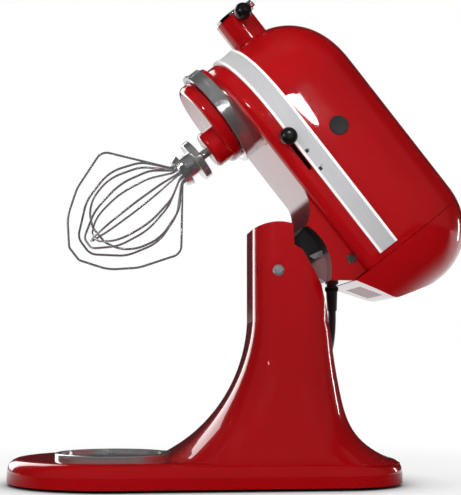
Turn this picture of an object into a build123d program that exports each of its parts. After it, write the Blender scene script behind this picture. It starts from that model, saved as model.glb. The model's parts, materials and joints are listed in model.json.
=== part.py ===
# Stand mixer with a tilting head, a planetary drive and a wire whisk.
# Front of the mixer is -X, its near side is -Y, and it stands on z = 0.
# The head is drawn tipped back, in its own frame about the hinge pin:
# u runs to the rear along the head, y across it, and v up out of it.
import os
from math import atan2, cos, degrees, pi, radians, sin, sqrt, tan

from build123d import *

os.makedirs("parts", exist_ok=True)

# Pedestal
base_front = 91.0
base_rear_x = 140.0
base_rear_corner = 60.0
base_rear_half = 86.0
foot_height = 2.5
slab_top = 23.0
slab_edge = 11.0
column_front_x = 11.2
column_rear_x = 69.0
column_rear_lean = 0.19
column_half = 50.0
column_corner = 26.0
flare_start = 150.0
flare_front_radius = 143.0
flare_corner = 48.0
flare_power = 4.4
flare_rear_power = 9.0
cast_wall = 7.0
plate_thick = 2.5
foot_radius = 10.0
foot_spread = 0.62

# Hinge
hinge_x = 31.0
hinge_z = 183.5
tilt = 52.0
ear_radius = 42.0
ear_thick = 14.0
pin_radius = 5.0
pin_proud = 1.2
lug_radius = 15.5
cheek_radius = 44.2
side_play = 1.0
saddle_play = 1.6
run_fit = 0.05
seat_fit = 0.02
slip = 0.3

# Bowl seat
seat_radius = 50.0
seat_bore = 44.0
seat_sink = 2.0
seat_height = 6.0
seat_floor = 3.4
screw_head = 3.8
screw_shank = 2.0

# Head shells
head_half = 70.0
head_front = 178.0
head_rear = 94.6
head_top = 169.5
tail_corner = 60.0
crown = 55.0
shell = 3.2
split_v = 83.0
under_v = 57.5
under_edge = 9.0
floor_thick = 4.0
joint_u = 46.0
joint_gap = 0.4
neck_half = 59.0
neck_bend = 28.0
neck_front = -13.5
tail_low_v = 44.0

# Trim band
band_low = 74.0
band_high = 92.5
band_thick = 1.4
band_rib = 0.9
band_rib_width = 2.2
band_end_u = 41.0

# Attachment hub
hub_v = 114.0
hub_radius = 17.0
hub_end_u = -203.5
hub_bore = 13.0
hub_depth = 20.0
hub_cap_thick = 2.6
hub_knob_radius = 7.8
hub_knob_u = -198.5
hub_knob_lift = 11.0

# Planetary drive
drive_u = -140.0
ring_teeth = 52
beater_teeth = 16
ring_module = 1.25
beater_rest_u = 20.0
ring_wall = 3.0
chin_radius = 42.5
chin_low = 46.0
drip_radius = 45.0
drip_low = 44.5
drip_high = 57.4
disc_radius = 40.0
disc_low = 33.0
disc_high = 44.0
boss_radius = 17.0
boss_low = 20.0
centre_shaft = 6.0
beater_shaft_radius = 4.25

# Gear train
gear_module = 1.5
centre_teeth = 36
pinion_teeth = 16
gear_low = 79.0
gear_high = 90.0
wheel_teeth = 28
wheel_face = 8.0
worm_pitch_radius = 7.0
wheel_y = 28.0
bevel_teeth = 16
bevel_face = 6.0
wheel_shaft_radius = 5.0

# Motor
motor_shaft = 4.0
stator_radius = 42.0
stator_bore = 25.0
stator_from = -44.0
stator_to = 14.0
air_gap = 0.6
brush_u = -66.0
commutator_radius = 13.0
brush_cap_radius = 8.0
fan_radius = 33.0
bearing_outer = 11.0
bearing_width = 8.0

# Levers
lever_u = -84.0
lever_v = 71.6
lever_travel = 25.0
lever_width = 10.0
lever_thick = 2.4

# Whisk
flange_radius = 19.0
flange_top = 11.0
flange_low = 4.0
whisk_neck_radius = 10.5
whisk_neck_low = -6.0
crown_radius = 15.5
crown_low = -12.0
wire_radius = 1.0
wire_ring = 8.6

# Mains lead
cord_radius = 3.5
gland_length = 24.0

# Working planes of the head
lean = radians(tilt)
hinge = (hinge_x, 0, hinge_z)
head = Plane(origin=hinge, x_dir=(cos(lean), 0, -sin(lean)), z_dir=(sin(lean), 0, cos(lean)))
head_side = Plane(origin=hinge, x_dir=head.x_dir, z_dir=(0, -1, 0))


def across(u):
    """Plane square to the head's length at u, drawn in y and v, facing the rear."""
    return Plane(head.from_local_coords((u, 0, 0)), x_dir=(0, 1, 0), z_dir=head.x_dir)


def beside(y):
    """Plane along the head at y, drawn in u and v, facing the near side."""
    return head_side.offset(-y)


def upright(u, y, v):
    """Plane with its origin on a point of the head, facing up out of the head."""
    return Plane(head.from_local_coords((u, y, v)), x_dir=head.x_dir, z_dir=head.z_dir)


def disc(plane, radius, height, bore_radius=0.0, mode=Mode.ADD):
    """Adds, or cuts, a round boss or ring that stands on a plane."""
    with BuildSketch(plane, mode=Mode.PRIVATE) as face:
        Circle(radius)
        if bore_radius:
            Circle(bore_radius, mode=Mode.SUBTRACT)
    extrude(face.sketch, amount=height, mode=mode)


def block(plane, middle, size, height, mode=Mode.ADD):
    """Adds, or cuts, a rectangular block that stands on a plane."""
    with BuildSketch(plane, mode=Mode.PRIVATE) as face:
        with Locations(middle):
            Rectangle(*size)
    extrude(face.sketch, amount=height, mode=mode)


def gear_points(teeth, module, phase, inward=False):
    """Corners of a gear with straight-sided teeth, one tooth centred on the phase angle."""
    pitch_radius = module * teeth / 2
    sign = -1 if inward else 1
    root = pitch_radius - sign * 1.15 * module
    tip = pitch_radius + sign * 0.7 * module
    step = 360 / teeth
    points = []
    for tooth in range(teeth):
        middle = phase + tooth * step
        for radius, share in ((root, -0.27), (tip, -0.11), (tip, 0.11), (root, 0.27)):
            angle = radians(middle + share * step)
            points.append((radius * cos(angle), radius * sin(angle)))
    return points


def gear(plane, teeth, module, phase, face_width, shaft):
    """Adds a spur gear with a bore for its shaft."""
    with BuildSketch(plane, mode=Mode.PRIVATE) as face:
        with BuildLine():
            Polyline(*gear_points(teeth, module, phase), close=True)
        make_face()
        Circle(shaft, mode=Mode.SUBTRACT)
    extrude(face.sketch, amount=face_width)


def head_plan(v, inset):
    """Plan of the head at a level, round at the front, with round corners at the rear."""
    nose_u = head_half - head_front
    tail_u = head_rear - tail_corner
    shoulder = head_half - tail_corner
    with BuildSketch(head.offset(v), mode=Mode.PRIVATE) as plan:
        with BuildLine():
            CenterArc((nose_u, 0), head_half - inset, 90, 180)
            Line((nose_u, inset - head_half), (tail_u, inset - head_half))
            CenterArc((tail_u, -shoulder), tail_corner - inset, -90, 90)
            Line((head_rear - inset, -shoulder), (head_rear - inset, shoulder))
            CenterArc((tail_u, shoulder), tail_corner - inset, 0, 90)
            Line((tail_u, head_half - inset), (nose_u, head_half - inset))
        make_face()
    return plan.sketch


def head_form(inset, low):
    """The head's crowned body above a level, drawn in from its skin by the inset."""
    with BuildPart(mode=Mode.PRIVATE) as form:
        extrude(head_plan(low, inset), amount=head_top - inset - low)
        top = form.faces().sort_by(Axis(hinge, head.z_dir))[-1]
        fillet(top.edges(), radius=crown - inset)
    return form.part


# Pedestal: base, column and hinge fork, joined flush
bowl_x = hinge_x + drive_u


edge_lean = radians(58)
flare_low = slab_top - slab_edge * (1 - sin(edge_lean))
flare_inset = slab_edge * (1 - cos(edge_lean))
flare_drop = flare_start - flare_low
foot_rear_x = base_rear_x - 1.4 * flare_inset
foot_rear_half = base_rear_half - flare_inset
foot_front_half = (base_front + base_rear_half) / 2 - flare_inset
foot_rear_corner = base_rear_corner - 1.2 * flare_inset
flare_rear = foot_rear_x - column_rear_x - column_rear_lean * (hinge_z - flare_low)


def column_section(z, inset):
    """Plan of the column at a height, drawn in from its skin by the inset."""
    drop = max(0.0, flare_start - z)
    share = drop / flare_drop
    front = column_front_x - flare_front_radius + sqrt(flare_front_radius**2 - drop**2)
    rear = column_rear_x + column_rear_lean * (hinge_z - z) + flare_rear * share**flare_rear_power
    front_half = column_half + (foot_front_half - column_half) * share**flare_power
    rear_half = column_half + (foot_rear_half - column_half) * share**flare_power
    front_corner = column_corner + (flare_corner - column_corner) * share
    rear_corner = column_corner + (foot_rear_corner - column_corner) * share
    with BuildSketch(Plane.XY.offset(z), mode=Mode.PRIVATE) as plan:
        for side in (-1, 1):
            with Locations((front + front_corner, side * (front_half - front_corner))):
                Circle(front_corner - inset)
            with Locations((rear - rear_corner, side * (rear_half - rear_corner))):
                Circle(rear_corner - inset)
        make_hull()
    return plan.sketch


def column_loft(inset, heights):
    """Flared column between heights, drawn in from its skin by the inset."""
    with BuildPart(mode=Mode.PRIVATE) as form:
        loft([column_section(z, inset) for z in heights])
    return form.part


column_top = 140.0
column_heights = (30, 36, 44, 60, 84, 112)
column_skin = column_loft(0, (flare_low - 1.8, *column_heights, column_top))
column_core = column_loft(cast_wall, (flare_low - 4, *column_heights, column_top - 12))
saddle_z = hinge_z - lug_radius - saddle_play
ear_front = column_front_x - hinge_x - 2
fork_front = neck_front - 2.7
ear_in = column_half - ear_thick


def base_plan(z, inset):
    """Plan of the base, round under the bowl, with two round corners at the rear."""
    rear_x = base_rear_x - base_rear_corner
    side = base_rear_half - base_rear_corner
    with BuildSketch(Plane.XY.offset(z), mode=Mode.PRIVATE) as plan:
        with Locations((bowl_x, 0)):
            Circle(base_front - inset)
        with Locations((rear_x, side), (rear_x, -side)):
            Circle(base_rear_corner - inset)
        make_hull()
    return plan.sketch


def ear_outline():
    """Side view of the ears: a round top about the hinge and a notch at the rear."""
    start = sqrt(ear_radius**2 - ear_front**2)
    low = column_top - hinge_z - 3
    rear_low = column_rear_x + column_rear_lean * (hinge_z - column_top) - hinge_x + 1
    with BuildSketch(Plane(hinge, x_dir=(1, 0, 0), z_dir=(0, -1, 0)), mode=Mode.PRIVATE) as side:
        with BuildLine():
            Polyline((ear_front, low), (ear_front, start))
            ThreePointArc((ear_front, start), (-6, sqrt(ear_radius**2 - 36)), (12.5, 40.1))
            Polyline((12.5, 40.1), (13.5, 22), (20.5, 18), (29.5, 3), (38, -12), (rear_low, low))
            Line((rear_low, low), (ear_front, low))
        make_face()
    return side.sketch


def ear_prism():
    """Upright block with the column's rounded corners, which bounds the ears."""
    with BuildPart(mode=Mode.PRIVATE) as prism:
        extrude(column_section(column_top, 0), amount=hinge_z + ear_radius - column_top)
        extrude(ear_outline(), amount=2 * column_half, both=True, mode=Mode.INTERSECT)
    return prism.part


ears = ear_prism()
hinge_side = Plane(hinge, x_dir=(1, 0, 0), z_dir=(0, -1, 0))
saddle_radius = lug_radius + saddle_play
saddle_lip = -11.5
saddle_front = 13.0
stop_width = 8.0
stop_reach = 5.5
stop_sink = 5.0
seat_low = slab_top - seat_sink
base_joint = slab_top + 3
screw_circle = 0.6 * seat_bore
foot_places = [(bowl_x - base_front * foot_spread, 0)]
foot_places += [(bowl_x, side * base_front * foot_spread) for side in (-1, 1)]
foot_places += [(base_rear_x - 35, side * base_rear_half * foot_spread) for side in (-1, 1)]

with BuildPart() as pedestal:
    extrude(base_plan(foot_height, 0), amount=slab_top - foot_height)
    fillet(pedestal.faces().sort_by(Axis.Z)[-1].edges(), radius=slab_edge)
    add(column_skin)
    add(ears)
    add(column_core, mode=Mode.SUBTRACT)
    extrude(base_plan(foot_height, cast_wall), amount=slab_top - cast_wall - foot_height,
            mode=Mode.SUBTRACT)
    disc(hinge_side.offset(-ear_in), saddle_radius, 2 * ear_in, mode=Mode.SUBTRACT)
    block(hinge_side.offset(-ear_in), (fork_front + 2 * ear_radius, saddle_front + ear_radius),
          (4 * ear_radius, 2 * ear_radius), 2 * ear_in, mode=Mode.SUBTRACT)
    block(hinge_side.offset(-ear_in), (ear_radius, saddle_lip + ear_radius), (2 * ear_radius, 2 * ear_radius),
          2 * ear_in, mode=Mode.SUBTRACT)
    block(hinge_side.offset(-ear_in / 2), (0, -saddle_radius), (stop_width, 2 * stop_sink), ear_in,
          mode=Mode.SUBTRACT)
    disc(hinge_side.offset(-column_half), pin_radius + seat_fit, 2 * column_half, mode=Mode.SUBTRACT)
    disc(Plane((bowl_x, 0, seat_low)), seat_radius + slip, 2 * slab_top, mode=Mode.SUBTRACT)
    with BuildSketch(Plane((bowl_x, 0, seat_low))):
        with PolarLocations(screw_circle, 4):
            Circle(screw_shank + seat_fit)
    extrude(amount=-cast_wall, mode=Mode.SUBTRACT)
    split(bisect_by=Plane.XY.offset(base_joint), keep=Keep.BOTH)
    split(bisect_by=Plane.XY.offset(column_top), keep=Keep.BOTH)

with BuildPart() as tilt_stop:
    block(hinge_side.offset(slip - ear_in / 2), (0, -saddle_radius + (stop_reach - stop_sink) / 2),
          (stop_width - slip, stop_reach + stop_sink), ear_in - 2 * slip)

with BuildPart() as hinge_pin:
    disc(hinge_side.offset(-column_half - pin_proud), pin_radius, 2 * column_half + 2 * pin_proud)
    fillet(hinge_pin.edges().filter_by(GeomType.CIRCLE), radius=pin_radius / 2)

with BuildPart() as base_plate:
    extrude(base_plan(foot_height, cast_wall + slip), amount=plate_thick)

with BuildPart() as rubber_feet:
    for place in foot_places:
        with BuildSketch() as face:
            with Locations(place):
                Circle(foot_radius)
        extrude(amount=foot_height)

# Bowl seat: a ring with a floor that a bowl's foot turns into
with BuildPart() as bowl_seat:
    disc(Plane((bowl_x, 0, seat_low)), seat_radius, seat_height)
    fillet(bowl_seat.faces().sort_by(Axis.Z)[-1].edges(), radius=1.5)
    disc(Plane((bowl_x, 0, seat_low + seat_floor)), seat_bore, seat_height, mode=Mode.SUBTRACT)
    with Locations(Plane((bowl_x, 0, seat_low + seat_floor))):
        with PolarLocations(screw_circle, 4):
            CounterBoreHole(screw_shank + 0.2, screw_head + slip, 2.0, depth=seat_floor)

with BuildPart() as seat_screws:
    with BuildSketch(Plane((bowl_x, 0, seat_low + seat_floor - 2.0))):
        with PolarLocations(screw_circle, 4):
            Circle(screw_head)
    extrude(amount=1.9)
    with BuildSketch(Plane((bowl_x, 0, seat_low + seat_floor - 2.0))):
        with PolarLocations(screw_circle, 4):
            Circle(screw_shank)
    extrude(amount=-seat_floor - cast_wall + seat_sink)

# Head shells
lug_half = ear_in - 2 * side_play + 0.5
bush_wall = 3.0
ring_pitch = ring_module * ring_teeth / 2
beater_pitch = ring_module * beater_teeth / 2
offset_radius = ring_pitch - beater_pitch
beater_u = drive_u + beater_rest_u
beater_y = -sqrt(offset_radius**2 - beater_rest_u**2)
ring_outer = ring_pitch + 1.15 * ring_module + ring_wall
ring_top = under_v - 0.5
gear_gap = gear_module * (centre_teeth + pinion_teeth) / 2
wheel_u = drive_u + sqrt(gear_gap**2 - wheel_y**2)
slot_height = lever_thick + 1.0
slot_length = lever_travel + lever_width + 6.0
slot_u = lever_u + lever_travel / 2
tail_line = ((33.5, 28.5), (joint_u, tail_low_v))
gland_u = 42.0
tail_slope = (tail_low_v - tail_line[0][1]) / (joint_u - tail_line[0][0])
gland_v = tail_low_v - (joint_u - gland_u) * tail_slope
gland_y = 20.0
gland_radius = 4.4
gland_plane = Plane(head.from_local_coords((gland_u, gland_y, gland_v)), x_dir=(1, 0, 0),
                    z_dir=(0.08, 0.4, -1))
case_screw_u = 30.0
case_screw_v = 54.0
case_screw_radius = 4.2


def case_screw_plane(side):
    """Plane at the bottom of a case screw's pocket, facing out of the neck."""
    place = head.from_local_coords((case_screw_u, side * (neck_half - 5), case_screw_v))
    return Plane(place, x_dir=head.x_dir, z_dir=(0, side, 0))


def neck_outline():
    """Side view of the neck that carries the head on its hinge."""
    bend_u = neck_front - neck_bend
    with BuildSketch(head_side, mode=Mode.PRIVATE) as side:
        with BuildLine():
            Line((bend_u, under_v + floor_thick), (bend_u, under_v))
            CenterArc((bend_u, under_v - neck_bend), neck_bend, 90, -90)
            Polyline((neck_front, under_v - neck_bend), (0, 12), *tail_line, (joint_u, under_v + floor_thick))
            Line((joint_u, under_v + floor_thick), (bend_u, under_v + floor_thick))
        make_face()
    return side.sketch


def stop_notch():
    """Side view of the clearance in the hinge lug between the two ends of the tilt."""
    half = degrees(atan2((stop_width - slip) / 2, lug_radius - 6))
    first = radians(-90 - half - 0.6)
    last = radians(-90 + tilt + half + 0.6)
    inner = lug_radius - stop_reach + saddle_play - 1.0
    outer = lug_radius + 4
    with BuildSketch(head_side, mode=Mode.PRIVATE) as side:
        with BuildLine():
            Line((inner * cos(first), inner * sin(first)), (outer * cos(first), outer * sin(first)))
            CenterArc((0, 0), outer, degrees(first), degrees(last - first))
            Line((outer * cos(last), outer * sin(last)), (inner * cos(last), inner * sin(last)))
            CenterArc((0, 0), inner, degrees(first), degrees(last - first))
        make_face()
    return side.sketch


with BuildPart() as gearcase:
    extrude(head_plan(under_v, 0), amount=split_v - under_v)
    fillet(gearcase.faces().sort_by(Axis(hinge, head.z_dir))[0].edges(), radius=under_edge)
    split(bisect_by=across(joint_u), keep=Keep.BOTTOM)
    extrude(neck_outline(), amount=neck_half, both=True)
    for side in (-1, 1):
        near = head_side.offset(lug_half) if side > 0 else head_side.offset(-lug_half - head_half)
        disc(near, cheek_radius, head_half, mode=Mode.SUBTRACT)
    disc(head_side.offset(-lug_half), lug_radius, 2 * lug_half)
    extrude(stop_notch(), amount=head_half, both=True, mode=Mode.SUBTRACT)
    disc(upright(drive_u, 0, chin_low), chin_radius, under_v + floor_thick - chin_low)
    extrude(head_plan(under_v + floor_thick, shell), amount=split_v, mode=Mode.SUBTRACT)
    block(head.offset(under_v - 9), ((neck_front + 38.5) / 2, 0), (45.5 - neck_front, 2 * neck_half - 16), 20,
          mode=Mode.SUBTRACT)
    disc(upright(drive_u, 0, chin_low), ring_outer + seat_fit, ring_top - chin_low, mode=Mode.SUBTRACT)
    disc(upright(drive_u, 0, ring_top), centre_shaft + bush_wall + 4, 16)
    disc(upright(drive_u, 0, ring_top), centre_shaft + bush_wall + seat_fit, 20, mode=Mode.SUBTRACT)
    disc(upright(wheel_u, wheel_y, under_v + 1), wheel_shaft_radius + bush_wall + 3, 11)
    disc(upright(wheel_u, wheel_y, under_v + 3), wheel_shaft_radius + bush_wall + seat_fit, 12,
         mode=Mode.SUBTRACT)
    disc(head_side.offset(-lug_half), pin_radius + bush_wall + seat_fit, 2 * lug_half, mode=Mode.SUBTRACT)
    for side in (-1, 1):
        block(beside(side * head_half - 10), (slot_u, lever_v), (slot_length, slot_height), -20,
              mode=Mode.SUBTRACT)
    disc(gland_plane.offset(-14), gland_radius + run_fit, 20, mode=Mode.SUBTRACT)
    for side in (-1, 1):
        disc(case_screw_plane(side), case_screw_radius, 12, mode=Mode.SUBTRACT)

skin_form = head_form(0, split_v)
core_form = head_form(shell, split_v)
hub_inner_u = -158.0
hub_spindle_radius = 7.0
cap_hinge_v = hub_v + hub_radius + 2.8
cap_hinge_u = hub_end_u + 2.0
cap_half = 5.0
cap_ear = 2.6
cap_pin_radius = 1.5
knob_rise = radians(hub_knob_lift)
knob_plane = Plane(head.from_local_coords((hub_knob_u, 0, hub_v)), x_dir=head.x_dir,
                   z_dir=Vector(0, -cos(knob_rise), 0) + head.z_dir * sin(knob_rise))
stem_radius = 3.0


def hub_face(u):
    """Plane square to the hub at u, with its origin on the hub's axis."""
    return Plane(head.from_local_coords((u, 0, hub_v)), x_dir=(0, 1, 0), z_dir=head.x_dir)


def cross(u, v, y=0.0):
    """Plane facing the near side, with its origin on a point of the head."""
    return Plane(head.from_local_coords((u, y, v)), x_dir=head.x_dir, z_dir=(0, -1, 0))


with BuildPart() as upper_housing:
    add(skin_form)
    add(core_form, mode=Mode.SUBTRACT)
    disc(hub_face(hub_end_u), hub_radius, hub_inner_u - hub_end_u)
    disc(hub_face(hub_end_u), hub_bore, hub_depth, mode=Mode.SUBTRACT)
    disc(hub_face(hub_end_u), hub_spindle_radius + bush_wall + seat_fit, hub_inner_u - hub_end_u,
         mode=Mode.SUBTRACT)
    split(bisect_by=across(joint_u), keep=Keep.BOTTOM)
    disc(cross(brush_u, hub_v, head_half + 2), brush_cap_radius + slip, 2 * head_half + 4, mode=Mode.SUBTRACT)
    disc(knob_plane, stem_radius + slip, 2 * hub_radius, mode=Mode.SUBTRACT)
    for start in (-cap_half - slip - cap_ear, cap_half + slip):
        block(beside(-start), (cap_hinge_u, cap_hinge_v - 2), (4, 8.4), cap_ear)
    disc(cross(cap_hinge_u, cap_hinge_v, 2 * cap_half), cap_pin_radius + seat_fit, 4 * cap_half,
         mode=Mode.SUBTRACT)


cover_heel = (head_rear - 13.6, tail_low_v + 21.5)


def cover_profile(inset):
    """Side view of the end cover, with a sloped underside and a rounded heel."""
    with BuildSketch(head_side, mode=Mode.PRIVATE) as side:
        with BuildLine():
            FilletPolyline(
                (joint_u - 30, tail_low_v - 19), cover_heel, (head_rear, 108), (head_rear + 1, head_top + 2),
                (joint_u - 30, head_top + 2), radius=(13, 40, 0), close=False)
            Line((joint_u - 30, head_top + 2), (joint_u - 30, tail_low_v - 19))
        make_face()
        if inset:
            offset(amount=-inset, kind=Kind.INTERSECTION, mode=Mode.REPLACE)
    return side.sketch


def cover_form(inset):
    """The end cover's body, drawn in from its skin by the inset."""
    with BuildPart(mode=Mode.PRIVATE) as form:
        add(head_form(inset, tail_low_v - 25))
        extrude(cover_profile(inset), amount=2 * head_half, both=True, mode=Mode.INTERSECT)
        split(bisect_by=across(joint_u + joint_gap), keep=Keep.TOP)
    return form.part


cover_skin = cover_form(0)
cover_core = cover_form(shell)
vent_count = 7
vent_pitch = 5.0

with BuildPart() as end_cover:
    add(cover_skin)
    add(cover_core, mode=Mode.SUBTRACT)
    for row in range(vent_count):
        block(upright(joint_u + 10, (row - vent_count // 2) * 2 * vent_pitch, tail_low_v - 6), (8, 0),
              (18, vent_pitch), 24, mode=Mode.SUBTRACT)
    disc(hub_face(head_rear - 2), 6.0, 3, mode=Mode.SUBTRACT)

with BuildPart() as end_cover_screw:
    disc(hub_face(head_rear - 1.9), 5.2, 1.5)
    block(hub_face(head_rear - 1.1), (0, 0), (9, 1.4), 2, mode=Mode.SUBTRACT)

with BuildPart() as trim_band:
    for low, high, proud in (
        (band_low, band_high, band_thick),
        (band_low, band_low + band_rib_width, band_thick + band_rib),
        (band_high - band_rib_width, band_high, band_thick + band_rib),
    ):
        extrude(head_plan(low, -proud), amount=high - low)
    extrude(head_plan(band_low - 1, -run_fit), amount=band_high - band_low + 2, mode=Mode.SUBTRACT)
    split(bisect_by=across(band_end_u), keep=Keep.BOTTOM)

with BuildPart() as case_screws:
    for side in (-1, 1):
        disc(case_screw_plane(side), case_screw_radius - slip, 2.5)

washer_thick = 1.0
with BuildPart() as hinge_washers:
    for start in (lug_half, -lug_half - washer_thick):
        with BuildSketch(head_side.offset(start), mode=Mode.PRIVATE) as face:
            with BuildLine():
                Polyline((-12.5, 28), (-12.5, 39.5), (-6, 42.5), (5, 42.5), (5, 14), (-6, 14), (-12.5, 28))
            make_face()
            Circle(lug_radius)
            Circle(pin_radius + run_fit, mode=Mode.SUBTRACT)
        extrude(face.sketch, amount=washer_thick)

with BuildPart() as hinge_bushes:
    for start in (-lug_half, lug_half - 12):
        disc(head_side.offset(start), pin_radius + bush_wall, 12, pin_radius + run_fit)

with BuildPart() as cord_gland:
    disc(gland_plane.offset(-12), gland_radius, 14.6)
    disc(gland_plane.offset(2.6), gland_radius + 1.8, 2.4)
    with BuildSketch(gland_plane.offset(5)):
        Circle(gland_radius + 0.8)
    with BuildSketch(gland_plane.offset(gland_length)):
        Circle(cord_radius + 0.9)
    loft()

# Planetary drive, from the ring gear down to the beater shaft
ring_step = 360 / ring_teeth
beater_angle = degrees(atan2(beater_y, beater_rest_u))

with BuildPart() as drip_ring:
    disc(upright(drive_u, 0, drip_low), drip_radius, drip_high - drip_low, chin_radius + run_fit)
    disc(upright(drive_u, 0, drip_low), drip_radius + 1.1, 2.2, chin_radius + run_fit)

with BuildPart() as ring_gear:
    with BuildSketch(upright(drive_u, 0, chin_low + 1)):
        Circle(ring_outer)
        with BuildLine():
            Polyline(*gear_points(ring_teeth, ring_module, beater_angle + ring_step / 2, True), close=True)
        make_face(mode=Mode.SUBTRACT)
    extrude(amount=ring_top - chin_low - 1)

with BuildPart() as centre_bush:
    disc(upright(drive_u, 0, ring_top), centre_shaft + bush_wall, 16, centre_shaft + run_fit)

beater_bush_wall = 2.2
with BuildPart() as planetary:
    disc(upright(drive_u, 0, disc_low), disc_radius, disc_high - disc_low)
    fillet(planetary.faces().sort_by(Axis(hinge, head.z_dir))[0].edges(), radius=5)
    disc(upright(beater_u, beater_y, boss_low), boss_radius, disc_high - boss_low)
    fillet(planetary.faces().sort_by(Axis(hinge, head.z_dir))[0].edges(), radius=3.5)
    disc(upright(drive_u, 0, disc_high), centre_shaft + 4, ring_top - disc_high - 0.6)
    disc(upright(drive_u, 0, disc_low), centre_shaft + seat_fit, ring_top, mode=Mode.SUBTRACT)
    disc(upright(beater_u, beater_y, boss_low - 1), beater_shaft_radius + beater_bush_wall + seat_fit,
         ring_top, mode=Mode.SUBTRACT)

with BuildPart() as planetary_shaft:
    disc(upright(drive_u, 0, disc_low), centre_shaft, hub_v - 8 - disc_low)

with BuildPart() as beater_bush:
    disc(upright(beater_u, beater_y, boss_low), beater_shaft_radius + beater_bush_wall, disc_high - boss_low,
         beater_shaft_radius + run_fit)

pin_v = 7.0
cross_pin_radius = 1.75
with BuildPart() as beater_shaft:
    disc(upright(beater_u, beater_y, flange_low - 6), beater_shaft_radius, ring_top - 1 - flange_low + 6)
    disc(cross(beater_u, pin_v, beater_y + 12), cross_pin_radius + seat_fit, 24, mode=Mode.SUBTRACT)

with BuildPart() as beater_pin:
    disc(cross(beater_u, pin_v, beater_y + 8.5), cross_pin_radius, 17)

with BuildPart() as beater_pinion:
    gear(upright(beater_u, beater_y, chin_low + 1), beater_teeth, ring_module, beater_angle,
         ring_top - chin_low - 2, beater_shaft_radius + seat_fit)

# Gear train between the motor and the planetary
pinion_angle = degrees(atan2(wheel_y, wheel_u - drive_u))
pinion_step = 360 / pinion_teeth

with BuildPart() as centre_gear:
    gear(upright(drive_u, 0, gear_low), centre_teeth, gear_module, pinion_angle, gear_high - gear_low,
         centre_shaft + seat_fit)

with BuildPart() as spur_pinion:
    gear(upright(wheel_u, wheel_y, gear_low), pinion_teeth, gear_module,
         pinion_angle + 180 + pinion_step / 2, gear_high - gear_low, wheel_shaft_radius + seat_fit)

with BuildPart() as worm_wheel:
    gear(upright(wheel_u, wheel_y, hub_v - wheel_face / 2), wheel_teeth, gear_module, -90 + 180 / wheel_teeth,
         wheel_face, wheel_shaft_radius + seat_fit)

bracket_v = 124.0
bracket_thick = 6.0
bracket_near = wheel_y - 13.6
bracket_far = head_half - shell - 5.4
with BuildPart() as wheel_shaft:
    disc(upright(wheel_u, wheel_y, under_v + 3.2), wheel_shaft_radius,
         bracket_v + bracket_thick - under_v - 3)

with BuildPart() as wheel_bushes:
    disc(upright(wheel_u, wheel_y, under_v + 3), wheel_shaft_radius + bush_wall, 9,
         wheel_shaft_radius + run_fit)
    disc(upright(wheel_u, wheel_y, bracket_v), wheel_shaft_radius + bush_wall, bracket_thick,
         wheel_shaft_radius + run_fit)

with BuildPart() as wheel_bracket:
    block(upright(wheel_u, 0, bracket_v), (0, (bracket_near + bracket_far) / 2),
          (30, bracket_far - bracket_near), bracket_thick)
    disc(upright(wheel_u, wheel_y, bracket_v), wheel_shaft_radius + bush_wall + seat_fit, bracket_thick,
         mode=Mode.SUBTRACT)

bevel_pitch = gear_module * bevel_teeth / 2
bevel_small = (bevel_pitch - bevel_face * cos(pi / 4)) / bevel_pitch


def bevel(large, small, phase):
    """Adds a bevel gear as straight faces between its large and its small end."""
    sections = []
    for plane, scale in ((large, 1.0), (small, bevel_small)):
        with BuildSketch(plane, mode=Mode.PRIVATE) as face:
            with BuildLine():
                Polyline(*[(x * scale, y * scale) for x, y in gear_points(bevel_teeth, gear_module, phase)],
                         close=True)
            make_face()
        sections.append(face.sketch)
    loft(sections, ruled=True)


with BuildPart() as drive_bevel:
    bevel(upright(drive_u, 0, hub_v - bevel_pitch), upright(drive_u, 0, hub_v - bevel_pitch * bevel_small),
          180)
    disc(upright(drive_u, 0, hub_v - bevel_pitch - 6), centre_shaft + 3, 6)
    disc(upright(drive_u, 0, hub_v - bevel_pitch - 6), centre_shaft + seat_fit, 20, mode=Mode.SUBTRACT)

nose_radius = 4.5
with BuildPart() as hub_bevel:
    bevel(hub_face(drive_u - bevel_pitch), hub_face(drive_u - bevel_pitch * bevel_small),
          -90 + 180 / bevel_teeth)
    disc(hub_face(drive_u - bevel_pitch - 4), nose_radius, 20, mode=Mode.SUBTRACT)

socket_width = 8.0
spindle_u = hub_end_u + hub_depth + 0.5
with BuildPart() as hub_spindle:
    disc(hub_face(spindle_u), hub_spindle_radius, drive_u - bevel_pitch - spindle_u)
    disc(hub_face(drive_u - bevel_pitch), nose_radius - seat_fit, 3.6)
    block(hub_face(hub_end_u), (0, 0), (socket_width, socket_width), 40, mode=Mode.SUBTRACT)

with BuildPart() as hub_bush:
    disc(hub_face(spindle_u + 0.5), hub_spindle_radius + bush_wall, hub_inner_u - spindle_u - 0.5,
         hub_spindle_radius + run_fit)

# Motor
worm_pitch = pi * gear_module
worm_turns = 6
worm_length = worm_pitch * worm_turns
worm_core = worm_pitch_radius - 1.15 * gear_module
worm_start = wheel_u - worm_length / 2
bracket_u = -89.0
bracket_length = 9.0
rear_u = 37.0

with BuildPart() as worm_thread:
    with BuildLine() as thread_line:
        Helix(worm_pitch, worm_length, worm_pitch_radius)
    with BuildSketch(Plane(thread_line.line @ 0, x_dir=(1, 0, 0), z_dir=thread_line.line % 0)):
        Polygon((-2.2, -1.2), (1.05, -0.45), (1.05, 0.45), (-2.2, 1.2), align=None)
    sweep(path=thread_line.line, is_frenet=True)

with BuildPart() as motor_shaft_worm:
    disc(hub_face(worm_start - 3), worm_core, worm_length + 6)
    disc(hub_face(worm_start + worm_length), motor_shaft, rear_u + bearing_width - worm_start - worm_length)
    add(hub_face(worm_start).location * worm_thread.part)

with BuildPart() as armature_core:
    disc(hub_face(stator_from + 4), stator_bore - air_gap, stator_to - stator_from - 8,
         motor_shaft + seat_fit)

with BuildPart() as commutator:
    disc(hub_face(brush_u - 9), commutator_radius, 18, motor_shaft + seat_fit)

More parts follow.
